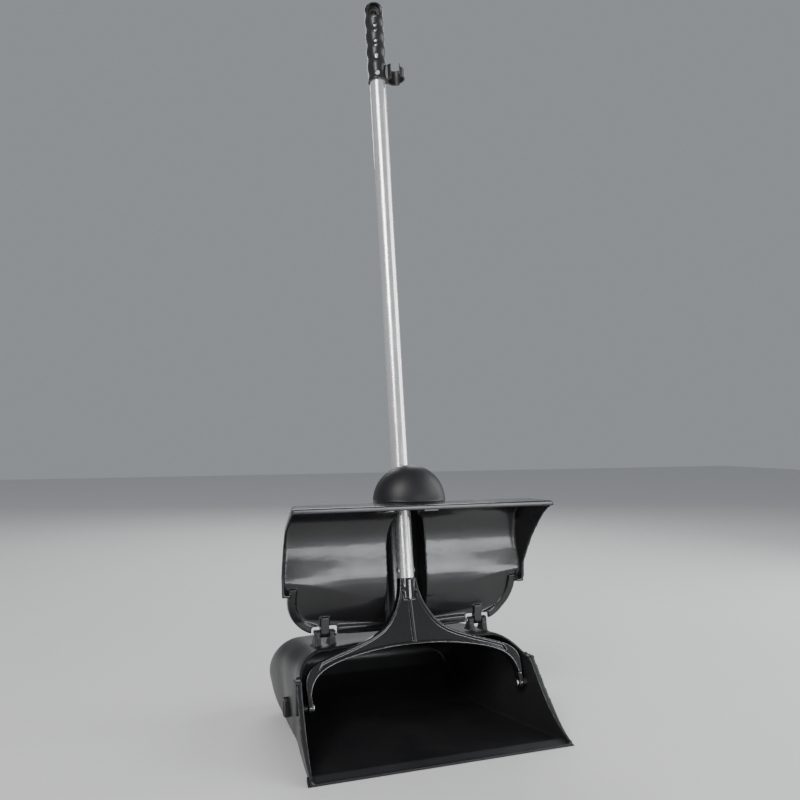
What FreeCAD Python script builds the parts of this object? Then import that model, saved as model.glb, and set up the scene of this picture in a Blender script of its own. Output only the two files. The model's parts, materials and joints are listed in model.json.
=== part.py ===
import FreeCAD, Part

# Upright lidded dust pan: a scoop-shaped pan, a lid on two rear hinges, and a long handle
# whose yoke straddles the mouth of the pan. Lifting the handle swings it forward over the
# mouth, and the handle carries the lid closed with it.
#
# Millimetres, +Z up. X runs across the pan, and the mouth opens towards -Y.
# Every y below is measured from the front edge of the lip, and save() moves the whole
# object so that its origin lies at the bottom centre of its bounding box.

import math
import os

# ---- driving dimensions -------------------------------------------------------------
PAN_DEPTH = 282.0
WALL = 3.0
SHOULDER_Y, SHOULDER_Z = 75.0, 85.0

STRIP_DEPTH, STRIP_RISE, STRIP_HALF = 17.0, 5.0, 157.5

PIVOT_Y, PIVOT_Z = 80.0, 54.0           # axis that the yoke turns on
PIN_R = 2.5
HINGE_Y, HINGE_Z = 130.0, 122.5         # axis that the lid turns on
HINGE_PIN_R = 2.0
STRAP_X, STRAP_WIDTH = 99.0, 10.0
EAR_WIDTH, EYE_R = 7.0, 5.0

POLE_LEAN = 8.6             # degrees back from vertical
POLE_Y, POLE_Z = 120.0, 182.0           # centre of the tube's lower end
TUBE_R, TUBE_WALL = 10.0, 1.2
TUBE_LENGTH = 718.0
GRIP_START = 631.0          # along the pole, from the tube's lower end
GRIP_LENGTH = 107.0
GRIP_R = 12.2

LID_WALL = 3.0
LID_STEP_Z = 170.0
BRIM_Y, BRIM_Z, BRIM_DROP = 50.0, 274.5, 5.8
ROOF_Z = 277.0
HOOD_PEAK_Y, HOOD_CUT_Y = 108.0, 144.0
HOOD_HALF, HOOD_FRONT, HOOD_REAR, HOOD_HEIGHT = 43.0, 34.0, 50.0, 43.0
CHANNEL_R = 26.0

FIT = 0.05                  # radial clearance of a pin in its bore
SIDE_GAP = 0.4              # side clearance between pieces that turn against each other


# ---- helpers ------------------------------------------------------------------------
def v(x, y, z):
    return FreeCAD.Vector(x, y, z)


X_AXIS, Z_AXIS = v(1, 0, 0), v(0, 0, 1)
POLE_DIR = v(0, math.sin(math.radians(POLE_LEAN)), math.cos(math.radians(POLE_LEAN)))
POLE_FOOT = v(0, POLE_Y, POLE_Z)


def along_pole(distance):
    return POLE_FOOT + POLE_DIR * distance


def rounded(points, radii):
    """A closed wire through points in space, with an arc of the given radius at each."""
    count = len(points)
    corners = []
    for i, corner in enumerate(points):
        before = (points[i - 1] - corner).normalize()
        after = (points[(i + 1) % count] - corner).normalize()
        if radii[i] == 0:
            corners.append((corner, None, corner))
            continue
        half = before.getAngle(after) / 2
        reach = radii[i] / math.tan(half)
        middle = (before + after).normalize()
        top = corner + middle * (radii[i] / math.sin(half) - radii[i])
        corners.append((corner + before * reach, top, corner + after * reach))
    edges = []
    for i, (start, top, end) in enumerate(corners):
        if top is not None:
            edges.append(Part.Arc(start, top, end).toShape())
        nxt = corners[(i + 1) % count][0]
        if end.distanceToPoint(nxt) > 1e-6:
            edges.append(Part.LineSegment(end, nxt).toShape())
    return Part.Wire(edges)


def polygon(points):
    return Part.makePolygon(list(points) + [points[0]])


def slab_x(points, low=-250.0, high=250.0):
    """The outline of (y, z) points, as a solid from x = low to x = high."""
    face = Part.Face(polygon([v(low, y, z) for y, z in points]))
    return face.extrude(v(high - low, 0, 0))


def slab_y(points, low=-50.0, high=350.0):
    """The outline of (x, z) points, as a solid from y = low to y = high."""
    face = Part.Face(polygon([v(x, low, z) for x, z in points]))
    return face.extrude(v(0, high - low, 0))


def mirrored(shape):
    return shape.mirror(v(0, 0, 0), X_AXIS)


def rod(start, direction, radius, length):
    return Part.makeCylinder(radius, length, start, direction)


def one_solid(shape):
    """The shape's largest solid, without the slivers that a cut can leave."""
    return max(shape.Solids, key=lambda solid: solid.Volume)


def interpolate(value, table):
    for (a, fa), (b, fb) in zip(table, table[1:]):
        if value <= b:
            return fa + (fb - fa) * (value - a) / (b - a)
    return table[-1][1]


# ---- pan ----------------------------------------------------------------------------
FLOOR_HALF = [(-20, 157.3), (0, 154), (55, 145), (135, 130), (187, 124), (240, 121), (262, 118),
              (276, 112), (300, 96)]
BULGE = [(-20, 4), (75, 4.5), (135, 6), (187, 13), (240, 19), (300, 19)]
TOP_Z = [(-20, 112), (60, 114), (115, 114.5), (150, 114), (183, 112), (215, 106),
         (240, 96), (262, 83), (276, 70), (300, 45)]
BIN_STATIONS = [-60, -35, -10, 15, 40, 65, 90, 112, 135, 160, 187, 215, 240, 262, 276, 290]


def bin_section(y, inset):
    """The pan's cross-section at y: leaning sides, round shoulders and a crowned top."""
    floor = interpolate(y, FLOOR_HALF) - inset
    side = floor + interpolate(y, BULGE)
    top = interpolate(y, TOP_Z) - inset
    shoulder = top - 7.0
    radius = min(30.0, (shoulder + 8.0) * 0.42) - inset
    points = [v(-floor, y, -8), v(floor, y, -8), v(side, y, shoulder), v(0, y, top),
              v(-side, y, shoulder)]
    return rounded(points, [4, 4, radius, 600, radius])


def bin_solid(inset):
    return Part.makeLoft([bin_section(y, inset) for y in BIN_STATIONS], True, False)


def side_region(inset):
    """The pan seen from the side: flat floor, two rising facets and a round rear."""
    rear = PAN_DEPTH - inset
    points = [v(-250, -30, inset), v(-250, 187, inset), v(-250, 236, 11 + inset),
              v(-250, 272 - inset * 0.6, 31 + inset * 0.6), v(-250, rear + 2.5, 52),
              v(-250, 268, 94 - inset), v(-250, 240, 150), v(-250, -30, 150)]
    face = Part.Face(rounded(points, [0, 40, 60, 6, 16, 40, 0, 0]))
    return face.extrude(v(500, 0, 0))


WING_EDGE = [(0, 5), (20, 18), (40, 37), (58, 61)]
SHOULDER = (SHOULDER_Y, SHOULDER_Z)
MOUTH_TOP = (117.0, 112.5)


def above_wings(drop=0.0):
    """Everything over the wings and in front of the mouth, lowered by drop."""
    curve = Part.BSplineCurve()
    curve.interpolate([v(-250, y, z - drop) for y, z in WING_EDGE + [SHOULDER]])
    end = v(-250, *SHOULDER) - v(0, 0, drop)
    shoulder_end = v(-250, SHOULDER_Y + 7, SHOULDER_Z + 1.0 - drop)
    mouth_top = v(-250, MOUTH_TOP[0] + drop, MOUTH_TOP[1])
    outline = [curve.toShape(), Part.LineSegment(end, shoulder_end).toShape()]
    corners = [shoulder_end, mouth_top, v(-250, 124 + drop, 140), v(-250, 124 + drop, 200),
               v(-250, -60, 200), v(-250, -60, 5 - drop), v(-250, 0, 5 - drop)]
    for a, b in zip(corners, corners[1:]):
        outline.append(Part.LineSegment(a, b).toShape())
    return Part.Face(Part.Wire(outline)).extrude(v(500, 0, 0))


def wing_flange():
    """The rolled outer edge of the two wings, widest near the shoulder."""
    band = above_wings(3.0).cut(above_wings(0.0))
    wide = Part.makeLoft([bin_section(y, grow) for y, grow in
                          ((-10, 0.5), (8, 0.0), (40, -4.5), (76, -4.0), (90, -3.5))], True, True)
    reach = Part.makeBox(400, 84, 120, v(-200, 2, 0))
    return band.common(wide).common(reach).cut(bin_solid(WALL))


def pan_knuckles():
    """Ears on the roof of the bin, one each side of either lid strap."""
    ears = []
    inner = STRAP_X - STRAP_WIDTH / 2 - SIDE_GAP
    outer = STRAP_X + STRAP_WIDTH / 2 + SIDE_GAP
    for low, high in ((inner - EAR_WIDTH, inner), (outer, outer + EAR_WIDTH)):
        eye = rod(v(low, HINGE_Y, HINGE_Z), X_AXIS, EYE_R, high - low)
        web = slab_x([(HINGE_Y - 8.5, 108), (HINGE_Y + 11, 108), (HINGE_Y + 4.8, HINGE_Z - 2.5),
                      (HINGE_Y + 4.0, HINGE_Z + 2), (HINGE_Y - 4.0, HINGE_Z + 2),
                      (HINGE_Y - 4.8, HINGE_Z - 2.5)], low, high)
        ear = eye.fuse(web)
        ears += [ear, mirrored(ear)]
    return ears


def lip_strip():
    """A tapered strip that lies on the ground and carries sweepings into the pan."""
    profile = [(0, 0), (0, 1.0), (STRIP_DEPTH - 3, STRIP_RISE), (STRIP_DEPTH, STRIP_RISE),
               (STRIP_DEPTH, 0)]
    strip = slab_x(profile, -STRIP_HALF, STRIP_HALF)
    skew = 4.0
    for side in (-1, 1):
        corner = [v(side * STRIP_HALF, -1, -1), v(side * (STRIP_HALF - skew), STRIP_DEPTH + 1, -1),
                  v(side * (STRIP_HALF + 9), STRIP_DEPTH + 1, -1), v(side * (STRIP_HALF + 9), -1, -1)]
        strip = strip.cut(Part.Face(polygon(corner)).extrude(v(0, 0, 12)))
    return strip


def pivot_bores(radius):
    return rod(v(-200, PIVOT_Y, PIVOT_Z), X_AXIS, radius, 400)


def pan_shell():
    outer = bin_solid(0).common(side_region(0))
    inner = bin_solid(WALL).common(side_region(WALL))
    shell = outer.cut(inner).cut(above_wings())
    shell = shell.fuse(wing_flange())
    below = Part.makeBox(600, 600, 50, v(-300, -50, -50))
    shell = shell.cut(below)
    for ear in pan_knuckles():
        shell = shell.fuse(ear.cut(inner))
    shell = shell.cut(rod(v(-200, HINGE_Y, HINGE_Z), X_AXIS, HINGE_PIN_R, 400))
    front = Part.makeBox(400, 10, 200, v(-200, -10, -20))
    shell = shell.cut(front).cut(lip_strip())
    return one_solid(shell.cut(pivot_bores(PIN_R)))


def wall_x(y, z):
    """Where the outer face of the pan's side wall stands at this y and z."""
    floor = interpolate(y, FLOOR_HALF)
    top = interpolate(y, TOP_Z) - 7.0
    return floor + interpolate(y, BULGE) * (z + 8.0) / (top + 8.0)


# ---- pieces at the two pivots -------------------------------------------------------
YOKE_TIP_IN, YOKE_TIP_OUT = 129.0, 134.0


def pivot_pin():
    """The right-hand pin: a round head inside the yoke, a shank through to the cap."""
    head_x = YOKE_TIP_IN - SIDE_GAP - 2.4
    head = rod(v(head_x, PIVOT_Y, PIVOT_Z), X_AXIS, 4.6, 2.4)
    inner_rim = [edge for edge in head.Edges if edge.BoundBox.XMax < head_x + 0.1]
    head = head.makeFillet(1.2, inner_rim)
    shank = rod(v(head_x + 1, PIVOT_Y, PIVOT_Z), X_AXIS, PIN_R, 147 - head_x)
    return head.fuse(shank)


def pivot_spacer():
    """A sleeve that holds the yoke clear of the wall; its outer end is cut to the wall."""
    start = YOKE_TIP_OUT + SIDE_GAP
    ring = rod(v(start, PIVOT_Y, PIVOT_Z), X_AXIS, 4.2, 20)
    ring = ring.cut(rod(v(start, PIVOT_Y, PIVOT_Z), X_AXIS, PIN_R, 20))
    return one_solid(ring.common(bin_solid(WALL)))


def boss(y, z, depth, height, reach):
    """A soft-cornered block on the outside of the right wall, cut to the wall's face."""
    x = wall_x(y, z)
    points = [v(x - 8, y - depth / 2, z - height / 2), v(x - 8, y + depth / 2, z - height / 2),
              v(x - 8, y + depth / 2, z + height / 2), v(x - 8, y - depth / 2, z + height / 2)]
    face = Part.Face(rounded(points, [3.0] * 4))
    block = face.extrude(v(8 + reach, 0, 0))
    outer = [edge for edge in block.Edges if edge.BoundBox.XMin > x + reach - 0.1]
    return block.makeFillet(1.5, outer)


def pivot_cap():
    """The outer bearing block that takes the end of the pin."""
    block = boss(80.0, 67.0, 14.0, 38.0, 5.5).cut(bin_solid(0)).cut(wing_flange())
    return one_solid(block.cut(pivot_pin()))


def side_bumper():
    """A pad low on the outer wall, with an upright slot in its face."""
    block = boss(176.0, 27.5, 11.0, 23.0, 6.0)
    x = wall_x(176, 27.5)
    slot = Part.makeBox(12, 3.0, 15.0, v(x + 1.5, 174.5, 20))
    return one_solid(block.cut(slot).cut(bin_solid(0)))


# ---- handle -------------------------------------------------------------------------
YOKE_OUTER = [(134.0, 64), (134.6, 77), (131.8, 87), (125.5, 94), (115, 99.5), (100, 104.5),
              (80, 110.3), (62, 116), (46, 122.5), (33, 131), (23.5, 142), (16.5, 154), (12, 168),
              (10, 182)]
YOKE_INNER = [(129.8, 64), (128.0, 71), (124.0, 79.5), (117, 86.6), (107, 92.2), (94, 96.8), (72, 101.6),
              (50, 105), (25, 107.3), (0, 108)]
POCKET_OUTER = YOKE_OUTER[4:-1]
POCKET_INNER = YOKE_INNER[3:]
YOKE_DEPTH, FLANGE, POCKET_DEPTH = 12.0, 2.8, 3.2
YOKE_SLOPE = (POLE_Y - PIVOT_Y) / (POLE_Z - PIVOT_Z)
YOKE_NORMAL = v(0, 1, -YOKE_SLOPE).normalize()


def in_yoke_plane(x, z, push=0.0):
    """A point of the yoke, whose plane runs from the pivot axis to the foot of the pole."""
    return v(x, PIVOT_Y + YOKE_SLOPE * (z - PIVOT_Z), z) + YOKE_NORMAL * push


def smooth(points):
    curve = Part.BSplineCurve()
    curve.interpolate(points)
    return curve.toShape()


def shifted(points, distance):
    """The line of (x, z) points, moved to its left by distance."""
    moved = []
    for i, (x, z) in enumerate(points):
        ax, az = points[max(i - 1, 0)]
        bx, bz = points[min(i + 1, len(points) - 1)]
        length = math.hypot(bx - ax, bz - az)
        moved.append((x - (bz - az) / length * distance, z + (bx - ax) / length * distance))
    return moved


def band_face(outer, inner, push):
    """The band between an outer and an inner line, on both sides of the middle."""
    out_r = [in_yoke_plane(x, z, push) for x, z in outer]
    in_r = [in_yoke_plane(x, z, push) for x, z in inner]
    out_l = [v(-p.x, p.y, p.z) for p in reversed(out_r)]
    in_l = [v(-p.x, p.y, p.z) for p in reversed(in_r)][1:]
    edges = [smooth(out_r), Part.LineSegment(out_r[-1], out_l[0]).toShape(), smooth(out_l),
             Part.LineSegment(out_l[-1], in_l[-1]).toShape(), smooth(list(reversed(in_r + in_l))),
             Part.LineSegment(in_r[0], out_r[0]).toShape()]
    return Part.Face(Part.Wire(Part.__sortEdges__(edges)))


def yoke_pocket(push):
    outer = shifted(POCKET_OUTER, FLANGE)
    inner = shifted(POCKET_INNER, -FLANGE)
    inner[-1] = (0, inner[-1][1])
    return band_face(outer, inner, push).extrude(YOKE_NORMAL * (POCKET_DEPTH + 1))


def yoke():
    """An arch over the mouth with an eye at each foot and a neck that takes the tube."""
    half = YOKE_DEPTH / 2
    body = band_face(YOKE_OUTER, YOKE_INNER, -half).extrude(YOKE_NORMAL * YOKE_DEPTH)
    centre_rib = Part.makeBox(3.0, 60, 100, v(-1.5, 80, 108))
    body = body.cut(yoke_pocket(-half - 1).cut(centre_rib))
    body = body.cut(yoke_pocket(half - POCKET_DEPTH).cut(centre_rib))
    for side in (-1, 1):
        low = min(side * YOKE_TIP_IN, side * YOKE_TIP_OUT)
        width = YOKE_TIP_OUT - YOKE_TIP_IN
        eye = rod(v(low, PIVOT_Y, PIVOT_Z), X_AXIS, 6.5, width)
        leg = slab_x([(PIVOT_Y - 6.2, PIVOT_Z + 2), (PIVOT_Y + 6.2, PIVOT_Z - 1), (PIVOT_Y + 10.2, 66),
                      (PIVOT_Y - 2.4, 66)], low, low + width)
        body = body.fuse(eye.fuse(leg))
    above = rod(along_pole(0), POLE_DIR, 40, 60)
    collar = rod(along_pole(-24), POLE_DIR, TUBE_R, 24)
    spigot = rod(along_pole(-1), POLE_DIR, TUBE_R - TUBE_WALL, 31)
    body = body.cut(above).fuse(collar).fuse(spigot)
    return one_solid(body.cut(pivot_bores(PIN_R + FIT)).cut(rivet_hole()))


RIVET_ALONG, RIVET_R = 9.0, 2.0


def rivet_hole():
    return rod(along_pole(RIVET_ALONG) - X_AXIS * 30, X_AXIS, RIVET_R, 60)


def yoke_rivet():
    """The cross rivet that holds the tube on the yoke's spigot."""
    centre = along_pole(RIVET_ALONG)
    body = rod(centre - X_AXIS * TUBE_R, X_AXIS, RIVET_R, 2 * TUBE_R)
    for side in (-1, 1):
        ball = Part.makeSphere(4.4, centre + X_AXIS * side * (TUBE_R - 2.6))
        cap = rod(centre + X_AXIS * side * (TUBE_R - 1.0), X_AXIS * side, 3.4, 5)
        body = body.fuse(ball.common(cap))
    ring = rod(along_pole(-5), POLE_DIR, TUBE_R, 40).cut(rod(centre - X_AXIS * 30, X_AXIS, RIVET_R, 60))
    return one_solid(body.cut(ring))


def tube():
    outer = rod(along_pole(0), POLE_DIR, TUBE_R, TUBE_LENGTH)
    bore = rod(along_pole(-1), POLE_DIR, TUBE_R - TUBE_WALL, TUBE_LENGTH + 2)
    return one_solid(outer.cut(bore).cut(rivet_hole()).cut(screw_hole()))


PLUG_DEPTH, PLUG_HEAD = 14.0, 2.0


def tube_plug():
    """A push-in plug that closes the tube's upper end inside the grip."""
    stem = rod(along_pole(TUBE_LENGTH - PLUG_DEPTH), POLE_DIR, TUBE_R - TUBE_WALL, PLUG_DEPTH)
    head = rod(along_pole(TUBE_LENGTH), POLE_DIR, TUBE_R, PLUG_HEAD)
    hollow = rod(along_pole(TUBE_LENGTH - PLUG_DEPTH - 1), POLE_DIR, TUBE_R - TUBE_WALL - 2, PLUG_DEPTH)
    return one_solid(stem.fuse(head).cut(hollow))


GRIP_TOP = GRIP_START + GRIP_LENGTH
GRIP_PITCH = 21.0
GRIP_TURN = -20.0           # the grip is turned on the tube, towards the user's left
GRIP_FRONT = FreeCAD.Rotation(POLE_DIR, GRIP_TURN).multVec(
    v(0, -math.cos(math.radians(POLE_LEAN)), math.sin(math.radians(POLE_LEAN))))
GRIP_SIDE = FreeCAD.Rotation(POLE_DIR, GRIP_TURN).multVec(X_AXIS)


def on_grip(along, side, forward):
    """A point beside the pole: along it, to the grip's side and towards its front."""
    return along_pole(along) + GRIP_SIDE * side + GRIP_FRONT * forward


def slot_solid(along, wide, tall, start, depth):
    """An upright oval slot into the grip's front, centred at along."""
    low, top = along - tall / 2, along + tall / 2
    points = [on_grip(low, -wide / 2, start), on_grip(low, wide / 2, start),
              on_grip(top, wide / 2, start), on_grip(top, -wide / 2, start)]
    face = Part.Face(rounded(points, [wide / 2 - 0.01] * 4))
    return face.extrude(GRIP_FRONT * depth)


def grip_ring(along, scale):
    wide = GRIP_R * scale
    ellipse = Part.Ellipse(on_grip(along, 0, wide + 0.8), on_grip(along, wide, 0), along_pole(along))
    return Part.Wire(ellipse.toShape())


WINDOWS = [(GRIP_TOP - 34.0, 4.2, 4.6), (GRIP_TOP - 41.3, 4.2, 4.6), (GRIP_TOP - 55.0, 4.2, 4.6),
           (GRIP_TOP - 61.5, 4.2, 4.6), (GRIP_TOP - 76.0, 4.0, 8.0)]
HANG_ALONG = GRIP_TOP - 13.0


def grip():
    """A moulded sleeve with finger waves, an oval recess with a hang hole, and windows."""
    rings = []
    straight = GRIP_LENGTH - 10
    steps = 24
    for i in range(steps + 1):
        along = GRIP_START + straight * i / steps
        wave = 0.05 * math.cos(2 * math.pi * (along - GRIP_START) / GRIP_PITCH)
        rings.append(grip_ring(along, 0.97 + wave))
    for drop, scale in ((6.5, 0.985), (3.5, 0.93), (1.2, 0.78), (0.0, 0.5)):
        rings.append(grip_ring(GRIP_TOP - drop, scale))
    body = Part.makeLoft(rings, True, False)
    body = body.cut(rod(along_pole(GRIP_START - 1), POLE_DIR, TUBE_R, TUBE_LENGTH - GRIP_START + 1))
    body = body.cut(rod(along_pole(TUBE_LENGTH), POLE_DIR, TUBE_R, PLUG_HEAD))
    for along, wide, tall in WINDOWS:
        body = body.cut(slot_solid(along, wide, tall, 5, 15))
    body = body.cut(slot_solid(HANG_ALONG, 14.0, 20.0, 4, 20))
    body = body.cut(slot_solid(HANG_ALONG - 2, 7.0, 12.0, -20, 40))
    return one_solid(body.cut(screw_hole()))


SCREW_ALONG = GRIP_START + 5.5


def screw_hole():
    return rod(on_grip(SCREW_ALONG, 0, 4), GRIP_FRONT, 1.6, 12)


def grip_screw():
    """A self-tapping screw that keeps the grip on the tube."""
    shank = rod(on_grip(SCREW_ALONG, 0, 5), GRIP_FRONT, 1.6, 8.6)
    head = rod(on_grip(SCREW_ALONG, 0, 13.5), GRIP_FRONT, 2.8, 1.4)
    body = shank.fuse(head)
    for turn in (0, 90):
        drive = Part.makeBox(3.6, 0.8, 1.0, v(-1.8, -0.4, -0.5))
        facing = FreeCAD.Rotation(GRIP_SIDE, POLE_DIR, GRIP_FRONT, "ZXY")
        facing = facing * FreeCAD.Rotation(Z_AXIS, turn)
        drive.Placement = FreeCAD.Placement(on_grip(SCREW_ALONG, 0, 14.7), facing)
        body = body.cut(drive)
    return one_solid(body)


CLIP_ALONG, CLIP_HEIGHT, CLIP_ARM = GRIP_START + 1.0, 19.5, 12.5
CLIP_R, CLIP_WALL = 9.7, 2.2
CLIP_CENTRE = GRIP_R + CLIP_WALL + CLIP_R - 0.6


def broom_clip():
    """A spring jaw on the grip's side that a broom handle snaps into from the front."""
    foot = on_grip(CLIP_ALONG, CLIP_CENTRE, 0)
    ring = rod(foot, POLE_DIR, CLIP_R + CLIP_WALL, CLIP_HEIGHT)
    pad = [on_grip(CLIP_ALONG, 8, -6), on_grip(CLIP_ALONG, 8, 6),
           on_grip(CLIP_ALONG, CLIP_CENTRE - 6, 7.5), on_grip(CLIP_ALONG, CLIP_CENTRE - 6, -7.5)]
    body = ring.fuse(Part.Face(polygon(pad)).extrude(POLE_DIR * CLIP_HEIGHT))
    body = body.cut(rod(foot - POLE_DIR, POLE_DIR, CLIP_R, CLIP_HEIGHT + 2))
    gap = [on_grip(CLIP_ALONG - 1, CLIP_CENTRE, 0), on_grip(CLIP_ALONG - 1, CLIP_CENTRE - 13, 20),
           on_grip(CLIP_ALONG - 1, CLIP_CENTRE + 10, 20)]
    body = body.cut(Part.Face(polygon(gap)).extrude(POLE_DIR * (CLIP_HEIGHT + 2)))
    trim = [on_grip(CLIP_ALONG + 2 + CLIP_ARM, CLIP_CENTRE + 5.5, -20),
            on_grip(CLIP_ALONG + 2 + CLIP_ARM, CLIP_CENTRE + 5.5, 20),
            on_grip(CLIP_ALONG + 2 + CLIP_ARM, CLIP_CENTRE + 30, 20),
            on_grip(CLIP_ALONG + 2 + CLIP_ARM, CLIP_CENTRE + 30, -20)]
    body = body.cut(Part.Face(polygon(trim)).extrude(POLE_DIR * 20))
    low_trim = Part.Face(polygon(trim)).extrude(POLE_DIR * -30)
    low_trim.translate(POLE_DIR * (-CLIP_ARM))
    body = body.cut(low_trim)
    return one_solid(body.cut(grip()).cut(tube()))


# ---- lid ----------------------------------------------------------------------------
LID_STATIONS = [-168, -140, -97, -45, 0, 45, 97, 140, 168]
CREASE_Z = [(0, 150), (45, 161), (97, 176), (140, 184), (168, 188)]
CREASE_Y = [(0, 123), (45, 119), (97, 115.5), (140, 115), (168, 115)]
SCOOP = [(120.5, 222, 1, 0), (119.5, 240, 0.97, 0.25), (113, 256, 0.8, 0.6), (100, 267.5, 0.5, 0.87),
         (84, 272.5, 0.12, 0.99)]       # y, z and outward direction of points up the panel
SIDE_TAPER = 0.28                       # how much each side closes in per mm towards the rear
PANEL_FOOT_Y = 129.0
BAND_BOTTOM = 118.5
BAND_TOP = [(0, 130), (45, 132), (97, 137), (168, 142)]
BAND_FRONT_Y = 127.3


def lid_section(x, back):
    """The lid's side profile at x, filled in to the front; back moves its rear face."""
    away = abs(x)
    foot_y = PANEL_FOOT_Y + back
    crease = v(x, interpolate(away, CREASE_Y) + back, interpolate(away, CREASE_Z))
    band_top = v(x, foot_y, interpolate(away, BAND_TOP))
    foot = v(x, foot_y, BAND_BOTTOM - 20)
    brim = v(x, BRIM_Y, BRIM_Z - LID_WALL + back)
    brim_foot = v(x, BRIM_Y, BAND_BOTTOM - 20)
    scoop = [crease] + [v(x, y + back * away_y, z + back * away_z) for y, z, away_y, away_z in SCOOP]
    edges = [smooth(scoop)]
    for start, end in ((foot, band_top), (band_top, crease), (scoop[-1], brim), (brim, brim_foot),
                       (brim_foot, foot)):
        edges.append(Part.LineSegment(start, end).toShape())
    return Part.Wire(Part.__sortEdges__(edges))


def channel(radius, top):
    """A groove behind the pole that gives it room, closed at the height top."""
    start = along_pole(-90) + v(0, 4.0, 0)
    groove = rod(start, POLE_DIR, radius, 300)
    return groove.common(Part.makeBox(200, 200, top - BAND_BOTTOM + 20, v(-100, 50, BAND_BOTTOM - 20)))


def lid_solid(back):
    filled = Part.makeLoft([lid_section(x, back) for x in LID_STATIONS], True, True)
    return filled.fuse(channel(CHANNEL_R + back, ROOF_Z - LID_WALL + back))


def lower_outline(inset):
    """The lower panel seen from the front, with its large round lower corners."""
    half = 145.5 - inset
    points = [v(-half, -50, 200), v(-half, -50, BAND_BOTTOM + 3 + inset), v(0, -50, BAND_BOTTOM + inset),
              v(half, -50, BAND_BOTTOM + 3 + inset), v(half, -50, 200)]
    return Part.Face(rounded(points, [0, 46 - inset, 0, 46 - inset, 0])).extrude(v(0, 400, 0))


SIDE_EDGE = [(112, 170), (109, 194), (102, 210), (93, 228), (80, 246.5), (69, 257.5), (58, 265.5),
             (BRIM_Y, BRIM_Z - BRIM_DROP)]
SIDE_HALF = [(170, 154), (194, 155.6), (210, 156.7), (228, 158), (246.5, 159.8), (268, 161),
             (273, 160), (277, 156), (280, 148)]
FRONT_CUT, REAR_CUT = 30.0, 190.0


def upper_outline(inset):
    """The lid between its two sides, which close in towards the rear and round over on top."""
    sections = []
    edge_y = [(z, y) for y, z in SIDE_EDGE]
    for z, half in SIDE_HALF:
        level = z + inset if z == LID_STEP_Z else z
        at_edge = interpolate(z, edge_y)
        front = half - inset + SIDE_TAPER * (at_edge - FRONT_CUT)
        rear = half - inset - SIDE_TAPER * (REAR_CUT - at_edge)
        sections.append(polygon([v(-front, FRONT_CUT, level), v(front, FRONT_CUT, level),
                                 v(rear, REAR_CUT, level), v(-rear, REAR_CUT, level)]))
    return Part.makeLoft(sections, True, True)


def hood(shrink):
    """A bulb over the pole: steep in front, longer behind, with straight sides below it."""
    dome = [Part.LineSegment(v(0, 0, -0.7), v(1, 0, -0.7)).toShape(),
            Part.LineSegment(v(1, 0, -0.7), v(1, 0, 0)).toShape(),
            Part.Arc(v(1, 0, 0), v(math.sqrt(0.5), 0, math.sqrt(0.5)), v(0, 0, 1)).toShape(),
            Part.LineSegment(v(0, 0, 1), v(0, 0, -0.7)).toShape()]
    profile = Part.Face(Part.Wire(dome))
    halves = []
    for reach, turn in ((HOOD_FRONT, -180), (HOOD_REAR, 180)):
        stretch = FreeCAD.Matrix()
        stretch.scale(HOOD_HALF - shrink, reach - shrink, HOOD_HEIGHT - shrink)
        stretch.move(v(0, HOOD_PEAK_Y, ROOF_Z - 3))
        halves.append(profile.revolve(v(0, 0, 0), Z_AXIS, turn).transformGeometry(stretch))
    peak = ROOF_Z - 3 + HOOD_HEIGHT - shrink
    return halves[0].fuse(halves[1]).cut(Part.makeBox(20, 20, 5, v(-10, HOOD_PEAK_Y - 10, peak - 0.08)))


SLOT_HALF, SLOT_FRONT_Y = 12.5, 111.0


def hood_slot():
    """The notch in the hood's top and back that the pole leans out through."""
    low = ROOF_Z - 20
    front = Part.makeCylinder(SLOT_HALF, 200, v(0, SLOT_FRONT_Y + SLOT_HALF, low))
    back = Part.makeBox(2 * SLOT_HALF, 200, 200, v(-SLOT_HALF, SLOT_FRONT_Y + SLOT_HALF, low))
    behind = Part.makeBox(200, 100, 200, v(-100, HOOD_CUT_Y, ROOF_Z))
    under = Part.makeBox(2 * SLOT_HALF, 30, 18, v(-SLOT_HALF, 97, 250))
    return front.fuse(back).fuse(behind).fuse(under)


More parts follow.
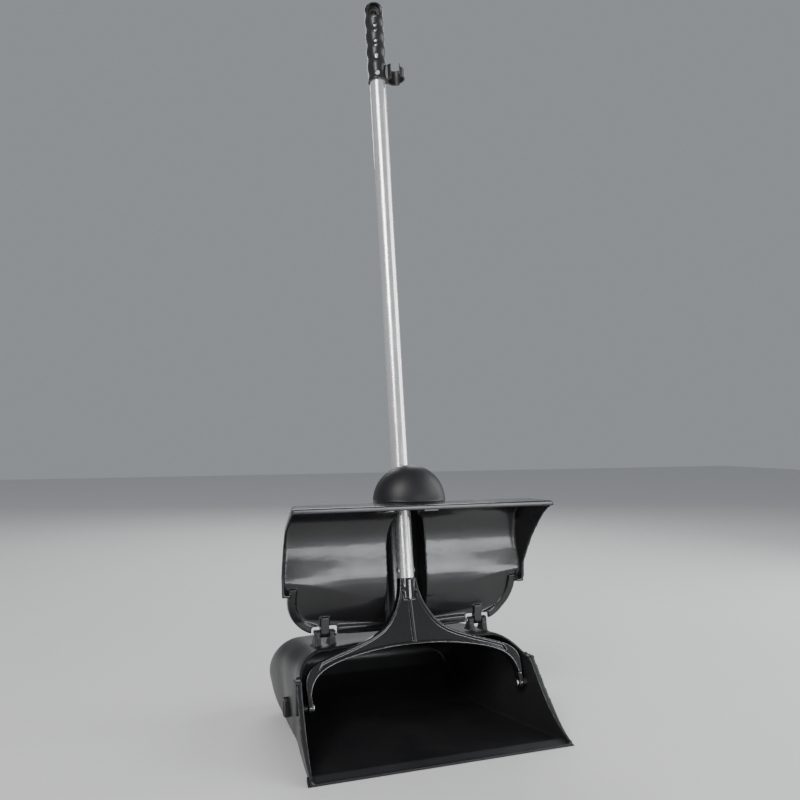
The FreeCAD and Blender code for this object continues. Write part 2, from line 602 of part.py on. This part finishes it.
def lid_shell():
    filled, room = lid_solid(LID_WALL), lid_solid(0)
    box = filled.common(upper_outline(0)).cut(room.common(upper_outline(LID_WALL)))
    front = slab_x([(-50, 100), (109, 100), (109, 180)] + SIDE_EDGE[1:] + [(-50, BRIM_Z - BRIM_DROP)])
    below_step = Part.makeBox(289, 200, 30, v(-144.5, 0, 155))
    box = box.cut(front).cut(room.common(below_step))
    sheet = filled.common(lower_outline(0)).cut(room)
    sheet = sheet.common(Part.makeBox(400, 400, 90, v(-200, 0, 100)))
    band = lower_outline(0).cut(lower_outline(9.5)).cut(channel(CHANNEL_R, 200))
    band = band.common(slab_x([(BAND_FRONT_Y, 110), (131, 110), (131, 137), (122, 178), (112.5, 178),
                               (BAND_FRONT_Y, 137.5)]))
    brim = slab_x([(BRIM_Y, BRIM_Z - BRIM_DROP), (BRIM_Y + LID_WALL, BRIM_Z - BRIM_DROP),
                   (BRIM_Y + LID_WALL, BRIM_Z), (BRIM_Y, BRIM_Z)]).common(upper_outline(0))
    shell = box.fuse(sheet).fuse(band).fuse(brim)
    bulge = hood(0).cut(filled).common(Part.makeBox(200, 200, 200, v(-100, 0, 262)))
    shell = shell.fuse(bulge).cut(hood(LID_WALL).common(Part.makeBox(200, 200, 200, v(-100, 0, 262))))
    shell = shell.cut(hood_slot())
    for side in (-1, 1):
        shell = shell.fuse(strap(side))
    for side in (-1, 1):
        room_for_ears = rod(v(side * STRAP_X - 15.5, HINGE_Y, HINGE_Z), X_AXIS, EYE_R + 3.2, 31)
        shell = shell.cut(room_for_ears.cut(strap(side)))
    return one_solid(shell.cut(rod(v(-200, HINGE_Y, HINGE_Z), X_AXIS, HINGE_PIN_R + FIT, 400)))


def strap(side):
    low = side * STRAP_X - STRAP_WIDTH / 2
    eye = rod(v(low, HINGE_Y, HINGE_Z), X_AXIS, EYE_R, STRAP_WIDTH)
    plate = slab_x([(HINGE_Y - 5.0, HINGE_Z), (HINGE_Y + 5.0, HINGE_Z), (HINGE_Y + 1.5, 141),
                    (HINGE_Y - 5.0, 141)], low, low + STRAP_WIDTH)
    return eye.fuse(plate)


def hinge_pin():
    low = STRAP_X - STRAP_WIDTH / 2 - SIDE_GAP - EAR_WIDTH - 0.5
    length = STRAP_WIDTH + 2 * (SIDE_GAP + EAR_WIDTH) + 1.0
    pin = rod(v(low, HINGE_Y, HINGE_Z), X_AXIS, HINGE_PIN_R, length)
    head = rod(v(low - 1.2, HINGE_Y, HINGE_Z), X_AXIS, 3.2, 1.2)
    return pin.fuse(head)


def save(name, shape):
    shape = shape.copy()
    shape.translate(v(0, -PAN_DEPTH / 2, 0))
    shape.exportStep("parts/" + name + ".step")
    box = shape.BoundBox
    print("%-20s valid %s solids %d volume %9.1f  x %.1f..%.1f y %.1f..%.1f z %.1f..%.1f" % (
        name, shape.isValid(), len(shape.Solids), shape.Volume, box.XMin, box.XMax, box.YMin, box.YMax,
        box.ZMin, box.ZMax))


os.makedirs("parts", exist_ok=True)
SINGLE = {"pan_shell": pan_shell, "lip_strip": lip_strip, "yoke": yoke, "yoke_rivet": yoke_rivet,
          "tube": tube, "tube_plug": tube_plug, "grip": grip, "grip_screw": grip_screw,
          "broom_clip": broom_clip, "lid_shell": lid_shell}
PAIRS = {"pivot_pin": pivot_pin, "pivot_spacer": pivot_spacer, "pivot_cap": pivot_cap,
         "side_bumper": side_bumper, "hinge_pin": hinge_pin}
for name, make in SINGLE.items():
    save(name, make())
for name, make in PAIRS.items():
    piece = make()
    save(name + "_right", piece)
    save(name + "_left", mirrored(piece))
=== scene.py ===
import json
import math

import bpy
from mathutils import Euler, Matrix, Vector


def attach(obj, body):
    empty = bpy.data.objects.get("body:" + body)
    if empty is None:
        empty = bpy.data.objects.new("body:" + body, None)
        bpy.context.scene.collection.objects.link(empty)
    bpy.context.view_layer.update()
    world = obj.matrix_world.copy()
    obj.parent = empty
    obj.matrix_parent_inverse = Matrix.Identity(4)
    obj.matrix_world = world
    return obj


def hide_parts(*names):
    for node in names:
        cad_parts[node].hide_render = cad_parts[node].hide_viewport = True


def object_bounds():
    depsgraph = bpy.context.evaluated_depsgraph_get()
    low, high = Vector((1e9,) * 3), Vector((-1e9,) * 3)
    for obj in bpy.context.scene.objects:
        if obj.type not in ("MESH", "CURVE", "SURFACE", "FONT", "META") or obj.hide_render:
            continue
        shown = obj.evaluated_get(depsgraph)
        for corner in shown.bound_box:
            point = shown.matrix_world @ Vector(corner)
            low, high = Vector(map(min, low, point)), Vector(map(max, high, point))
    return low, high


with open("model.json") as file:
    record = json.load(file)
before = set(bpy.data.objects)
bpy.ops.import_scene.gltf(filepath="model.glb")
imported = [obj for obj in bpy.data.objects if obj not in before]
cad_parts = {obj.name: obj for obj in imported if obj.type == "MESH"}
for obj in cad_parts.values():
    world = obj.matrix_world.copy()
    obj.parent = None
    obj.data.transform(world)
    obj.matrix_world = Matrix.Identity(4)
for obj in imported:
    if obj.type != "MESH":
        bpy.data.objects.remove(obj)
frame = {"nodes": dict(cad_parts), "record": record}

# Upright lidded dust pan: moulded black plastic pan, lid and yoke, and a metal tube with a
# black grip. Each CAD node is copied and its sharp edges are rounded off, and the copy is
# shown in the node's place while the node is hidden.

cad_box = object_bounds()
scene = bpy.context.scene
MM = 0.001


# ---- sizes --------------------------------------------------------------------------
LIP_Y = cad_box[0][1]               # front edge of the lip, which the part's sizes start from
ROOF_TOP = 276.0 * MM               # the lid's outer skin above this is satin
SATIN_ROUGHNESS = 0.48


# ---- camera and light ---------------------------------------------------------------
CAMERA_TURN = math.radians(22.5)    # the camera stands this far to the object's left
CAMERA_DISTANCE = 1.0776
CAMERA_HEIGHT = 0.358
LENS, SENSOR = 40.05, 36.0
SHIFT_UP = 0.0375
AIM_BEHIND_LIP = 139 * MM
CLIP_END = 50


def add_camera():
    data = bpy.data.cameras.new("camera")
    data.lens = LENS
    data.sensor_width = SENSOR
    data.shift_y = SHIFT_UP
    data.clip_end = CLIP_END
    camera = bpy.data.objects.new("camera", data)
    away = Vector((-math.sin(CAMERA_TURN), -math.cos(CAMERA_TURN), 0)) * CAMERA_DISTANCE
    camera.location = Vector((0, LIP_Y + AIM_BEHIND_LIP, CAMERA_HEIGHT)) + away
    camera.rotation_euler = Euler((math.pi / 2, 0, -CAMERA_TURN))
    scene.collection.objects.link(camera)
    scene.camera = camera


def add_softbox(name, place, target, size, watts, colour):
    data = bpy.data.lights.new(name, "AREA")
    data.shape = "RECTANGLE"
    data.size, data.size_y = size
    data.energy = watts
    data.color = colour
    light = bpy.data.objects.new(name, data)
    light.location = place
    aim = Vector(target) - Vector(place)
    light.rotation_euler = aim.to_track_quat("-Z", "Y").to_euler()
    scene.collection.objects.link(light)


MIDDLE = (0, 0, 0.3)
SCOOP = (0, 0, 0.2)                 # the lid's panel above the mouth
WHITE = (1, 1, 1)
SOFTBOXES = [                       # name, place, aimed at, size, watts, colour
    ("key", (-1.5, -1.7, 1.9), MIDDLE, (1.1, 1.1), 42, (1.0, 0.985, 0.96)),
    ("fill", (1.9, -1.0, 1.1), MIDDLE, (0.9, 1.4), 16, (0.93, 0.96, 1.0)),
    ("rim", (0.6, 1.9, 1.7), MIDDLE, (1.4, 0.9), 22, WHITE),
    ("low", (0.62, -1.45, 0.25), SCOOP, (0.8, 0.24), 6, (0.95, 0.97, 1.0)),
    ("strip", (-1.15, -1.3, 0.75), (0, 0, 0.15), (0.10, 1.3), 7, WHITE),
    ("side", (1.7, 0.1, 0.9), (0, 0, 0.5), (0.5, 1.6), 13, WHITE),
]
WORLD_COLOUR = (0.82, 0.86, 0.92, 1)
WORLD_STRENGTH = 0.34


def add_lights():
    for softbox in SOFTBOXES:
        add_softbox(*softbox)
    world = bpy.data.worlds.new("studio")
    world.use_nodes = True
    background = world.node_tree.nodes["Background"]
    background.inputs["Color"].default_value = WORLD_COLOUR
    background.inputs["Strength"].default_value = WORLD_STRENGTH
    scene.world = world


# ---- node helpers -------------------------------------------------------------------
def new_material(name):
    material = bpy.data.materials.new(name)
    material.use_nodes = True
    tree = material.node_tree
    shader = tree.nodes["Principled BSDF"]
    return material, tree, shader


def add_node(tree, kind, **settings):
    node = tree.nodes.new(kind)
    for key, value in settings.items():
        setattr(node, key, value)
    return node


def noise(tree, scale, detail=4.0, stretch=(1, 1, 1), roughness=0.55):
    """Noise over the object's own coordinates, so that it stays put as the piece moves."""
    coordinates = add_node(tree, "ShaderNodeTexCoord")
    mapping = add_node(tree, "ShaderNodeMapping")
    mapping.inputs["Scale"].default_value = stretch
    tree.links.new(coordinates.outputs["Object"], mapping.inputs["Vector"])
    texture = add_node(tree, "ShaderNodeTexNoise")
    texture.inputs["Scale"].default_value = scale
    texture.inputs["Detail"].default_value = detail
    texture.inputs["Roughness"].default_value = roughness
    tree.links.new(mapping.outputs["Vector"], texture.inputs["Vector"])
    return texture.outputs["Fac"]


def remap(tree, value, low_in, high_in, low_out, high_out):
    node = add_node(tree, "ShaderNodeMapRange")
    node.inputs["From Min"].default_value = low_in
    node.inputs["From Max"].default_value = high_in
    node.inputs["To Min"].default_value = low_out
    node.inputs["To Max"].default_value = high_out
    tree.links.new(value, node.inputs["Value"])
    return node.outputs["Result"]


def combine(tree, operation, first, second):
    node = add_node(tree, "ShaderNodeMath", operation=operation)
    node.use_clamp = operation == "MULTIPLY"
    tree.links.new(first, node.inputs[0])
    if isinstance(second, float):
        node.inputs[1].default_value = second
    else:
        tree.links.new(second, node.inputs[1])
    return node.outputs["Value"]


def blend_colours(tree, factor, first, second):
    node = add_node(tree, "ShaderNodeMix", data_type="RGBA")
    tree.links.new(factor, node.inputs["Factor"])
    for socket, colour in ((node.inputs[6], first), (node.inputs[7], second)):
        if isinstance(colour, tuple):
            socket.default_value = (*colour, 1)
        else:
            tree.links.new(colour, socket)
    return node.outputs[2]


def worn_edges(tree, start, end):
    """1 on outer edges and corners, where handling rubs a piece, and 0 elsewhere."""
    geometry = add_node(tree, "ShaderNodeNewGeometry")
    edge = remap(tree, geometry.outputs["Pointiness"], start, end, 0.0, 1.0)
    patches = remap(tree, noise(tree, 45.0, 3.0), 0.4, 0.62, 0.0, 1.0)
    return combine(tree, "MULTIPLY", edge, patches)


def bump(tree, shader, layers):
    """Stacks bump layers, each (height, strength, distance in metres)."""
    normal = None
    for height, strength, distance in layers:
        node = add_node(tree, "ShaderNodeBump")
        node.inputs["Strength"].default_value = strength
        node.inputs["Distance"].default_value = distance
        tree.links.new(height, node.inputs["Height"])
        if normal is not None:
            tree.links.new(normal, node.inputs["Normal"])
        normal = node.outputs["Normal"]
    tree.links.new(normal, shader.inputs["Normal"])


# ---- materials ----------------------------------------------------------------------
def moulded_plastic(name, dark, light, rough, grain, waves, coat=0.0):
    """Black injection-moulded plastic.

    dark, light: the two greys that flow marks and dust mix; rough: (low, high) roughness;
    grain and waves: depths in metres of the fine mould texture and of the slow ripple."""
    material, tree, shader = new_material(name)
    flow = remap(tree, noise(tree, 9.0, 5.0, (1, 1, 0.5)), 0.35, 0.7, 0.0, 1.0)
    body = blend_colours(tree, flow, dark, light)
    rubbed = tuple(channel * 1.7 + 0.003 for channel in light)
    worn = worn_edges(tree, 0.55, 0.68)
    tree.links.new(blend_colours(tree, worn, body, rubbed), shader.inputs["Base Color"])
    smear = remap(tree, noise(tree, 22.0, 6.0, (1, 1, 0.35)), 0.3, 0.72, *rough)
    tree.links.new(smear, shader.inputs["Roughness"])
    bump(tree, shader, [(noise(tree, 14.0, 1.0), 0.6, waves),
                        (noise(tree, 1400.0, 2.0), 0.5, grain)])
    shader.inputs["IOR"].default_value = 1.49
    shader.inputs["Coat Weight"].default_value = coat
    shader.inputs["Coat Roughness"].default_value = 0.08
    return material


BLEND = 0.5 * MM                    # half the height over which glossy turns to satin


def satin_above(material, height, rough):
    """Makes the part of the piece above the height satin, in metres over the piece's origin."""
    tree = material.node_tree
    shader = tree.nodes["Principled BSDF"]
    glossy = shader.inputs["Roughness"].links[0].from_socket
    split = add_node(tree, "ShaderNodeSeparateXYZ")
    coordinates = add_node(tree, "ShaderNodeTexCoord")
    tree.links.new(coordinates.outputs["Object"], split.inputs["Vector"])
    low, high = height - BLEND, height + BLEND
    above = remap(tree, split.outputs["Z"], low, high, 0.0, rough)
    tree.links.new(combine(tree, "MAXIMUM", glossy, above), shader.inputs["Roughness"])
    coat = shader.inputs["Coat Weight"].default_value
    clear = remap(tree, split.outputs["Z"], low, high, coat, 0.0)
    tree.links.new(clear, shader.inputs["Coat Weight"])


def drawn_aluminium():
    """Satin tube with the fine lengthways lines that drawing leaves, and faint smudges."""
    material, tree, shader = new_material("drawn_aluminium")
    lines = noise(tree, 420.0, 3.0, (1, 1, 0.004))
    broad = noise(tree, 60.0, 2.0, (1, 1, 0.01))
    smudges = noise(tree, 18.0, 5.0)
    metal = blend_colours(tree, remap(tree, broad, 0.35, 0.65, 0.0, 1.0),
                          (0.84, 0.83, 0.82), (0.94, 0.93, 0.92))
    dulled = remap(tree, smudges, 0.55, 0.8, 0.0, 0.35)
    tree.links.new(blend_colours(tree, dulled, metal, (0.60, 0.59, 0.58)), shader.inputs["Base Color"])
    rough = combine(tree, "ADD", remap(tree, lines, 0.3, 0.7, 0.16, 0.26),
                    remap(tree, smudges, 0.4, 0.75, 0.0, 0.12))
    tree.links.new(rough, shader.inputs["Roughness"])
    bump(tree, shader, [(lines, 0.35, 0.00003)])
    shader.inputs["Metallic"].default_value = 0.8
    return material


def plated_steel():
    """Zinc-plated steel with a light grain and dull spots."""
    material, tree, shader = new_material("plated_steel")
    spots = noise(tree, 240.0, 5.0)
    mixed = blend_colours(tree, remap(tree, spots, 0.4, 0.65, 0.0, 1.0),
                          (0.42, 0.42, 0.43), (0.66, 0.66, 0.65))
    tree.links.new(mixed, shader.inputs["Base Color"])
    tree.links.new(remap(tree, spots, 0.3, 0.7, 0.22, 0.42), shader.inputs["Roughness"])
    bump(tree, shader, [(noise(tree, 900.0, 3.0), 0.4, 0.00003)])
    shader.inputs["Metallic"].default_value = 1.0
    return material


def pale_floor():
    material, tree, shader = new_material("pale_floor")
    tone = blend_colours(tree, noise(tree, 3.0, 4.0), (0.72, 0.72, 0.71), (0.76, 0.76, 0.75))
    tree.links.new(tone, shader.inputs["Base Color"])
    shader.inputs["Roughness"].default_value = 0.75
    return material


MATERIALS = {
    "pan_plastic": moulded_plastic("pan_plastic", (0.010, 0.010, 0.011), (0.017, 0.017, 0.018),
                                   (0.30, 0.46), 0.00005, 0.0006),
    "lid_plastic": moulded_plastic("lid_plastic", (0.008, 0.008, 0.009), (0.014, 0.014, 0.015),
                                   (0.18, 0.30), 0.00003, 0.0004, 0.3),
    "lip_plastic": moulded_plastic("lip_plastic", (0.016, 0.016, 0.018), (0.024, 0.024, 0.027),
                                   (0.36, 0.5), 0.00004, 0.0003),
    "yoke_plastic": moulded_plastic("yoke_plastic", (0.008, 0.008, 0.008), (0.013, 0.013, 0.013),
                                    (0.07, 0.15), 0.00002, 0.0002, 1.0),
    "fitting_plastic": moulded_plastic("fitting_plastic", (0.014, 0.014, 0.015), (0.022, 0.022, 0.024),
                                       (0.38, 0.55), 0.00006, 0.0002),
    "grip_plastic": moulded_plastic("grip_plastic", (0.012, 0.012, 0.013), (0.020, 0.020, 0.022),
                                    (0.28, 0.45), 0.00008, 0.0002),
    "pole_metal": drawn_aluminium(),
    "bare_steel": plated_steel(),
}
satin_above(MATERIALS["lid_plastic"], ROOF_TOP, SATIN_ROUGHNESS)
slot_of_node = {part["node"]: part["material_slot"] for part in frame["record"]["subparts"]}
body_of_node = {node: body for body, nodes in frame["record"]["behaviour"]["bodies"].items()
                for node in nodes}


# ---- pieces -------------------------------------------------------------------------
def baked(piece):
    """Replaces the piece's mesh with what its modifiers make, and drops the modifiers."""
    graph = bpy.context.evaluated_depsgraph_get()
    mesh = bpy.data.meshes.new_from_object(piece.evaluated_get(graph))
    piece.modifiers.clear()
    piece.data = mesh
    return piece


def finish_piece(piece, node):
    """Gives the piece the material of its node's slot and its node's body, shades it smooth, and hides
    the node so that the piece shows in its place.
    """
    slot = slot_of_node[node]
    piece.data.materials.clear()
    piece.data.materials.append(MATERIALS[slot])
    for polygon in piece.data.polygons:
        polygon.use_smooth = True
    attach(piece, body_of_node[node])
    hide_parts(node)


def rounded_copy(node, voxel, rounds):
    """A copy of the CAD node with its edges rounded, as moulding or tumbling leaves them."""
    piece = bpy.data.objects.new(node + "_moulded", frame["nodes"][node].data.copy())
    scene.collection.objects.link(piece)
    remesh = piece.modifiers.new("remesh", "REMESH")
    remesh.mode = "VOXEL"
    remesh.voxel_size = voxel
    remesh.adaptivity = 0
    smooth = piece.modifiers.new("smooth", "SMOOTH")
    smooth.factor = 0.5
    smooth.iterations = rounds
    return baked(piece)


ROUNDING = {                        # voxel size in mm and smoothing rounds of each node
    "pan_shell": (1.1, 6), "lid_shell": (1.0, 6), "yoke": (0.6, 5), "lip_strip": (0.7, 3),
    "grip": (0.5, 4), "broom_clip": (0.4, 4), "grip_screw": (0.15, 2), "yoke_rivet": (0.2, 2),
    "tube_plug": (0.3, 2), "pivot_pin_right": (0.2, 2), "pivot_pin_left": (0.2, 2),
    "pivot_spacer_right": (0.25, 2), "pivot_spacer_left": (0.25, 2), "pivot_cap_right": (0.35, 4),
    "pivot_cap_left": (0.35, 4), "side_bumper_right": (0.35, 4), "side_bumper_left": (0.35, 4),
    "hinge_pin_right": (0.2, 2), "hinge_pin_left": (0.2, 2), "tube": (0.4, 2),
}


FLOOR_SIZE = 12.0
FLOOR_DROP = 0.0002                 # keeps the floor clear of the part's underside


def add_floor():
    bpy.ops.mesh.primitive_plane_add(size=FLOOR_SIZE, location=(0, 0, -FLOOR_DROP))
    floor = bpy.context.object
    floor.name = "floor"
    floor.data.materials.append(pale_floor())


add_camera()
add_lights()
add_floor()
for node, (voxel_mm, rounds) in ROUNDING.items():
    finish_piece(rounded_copy(node, voxel_mm * MM, rounds), node)
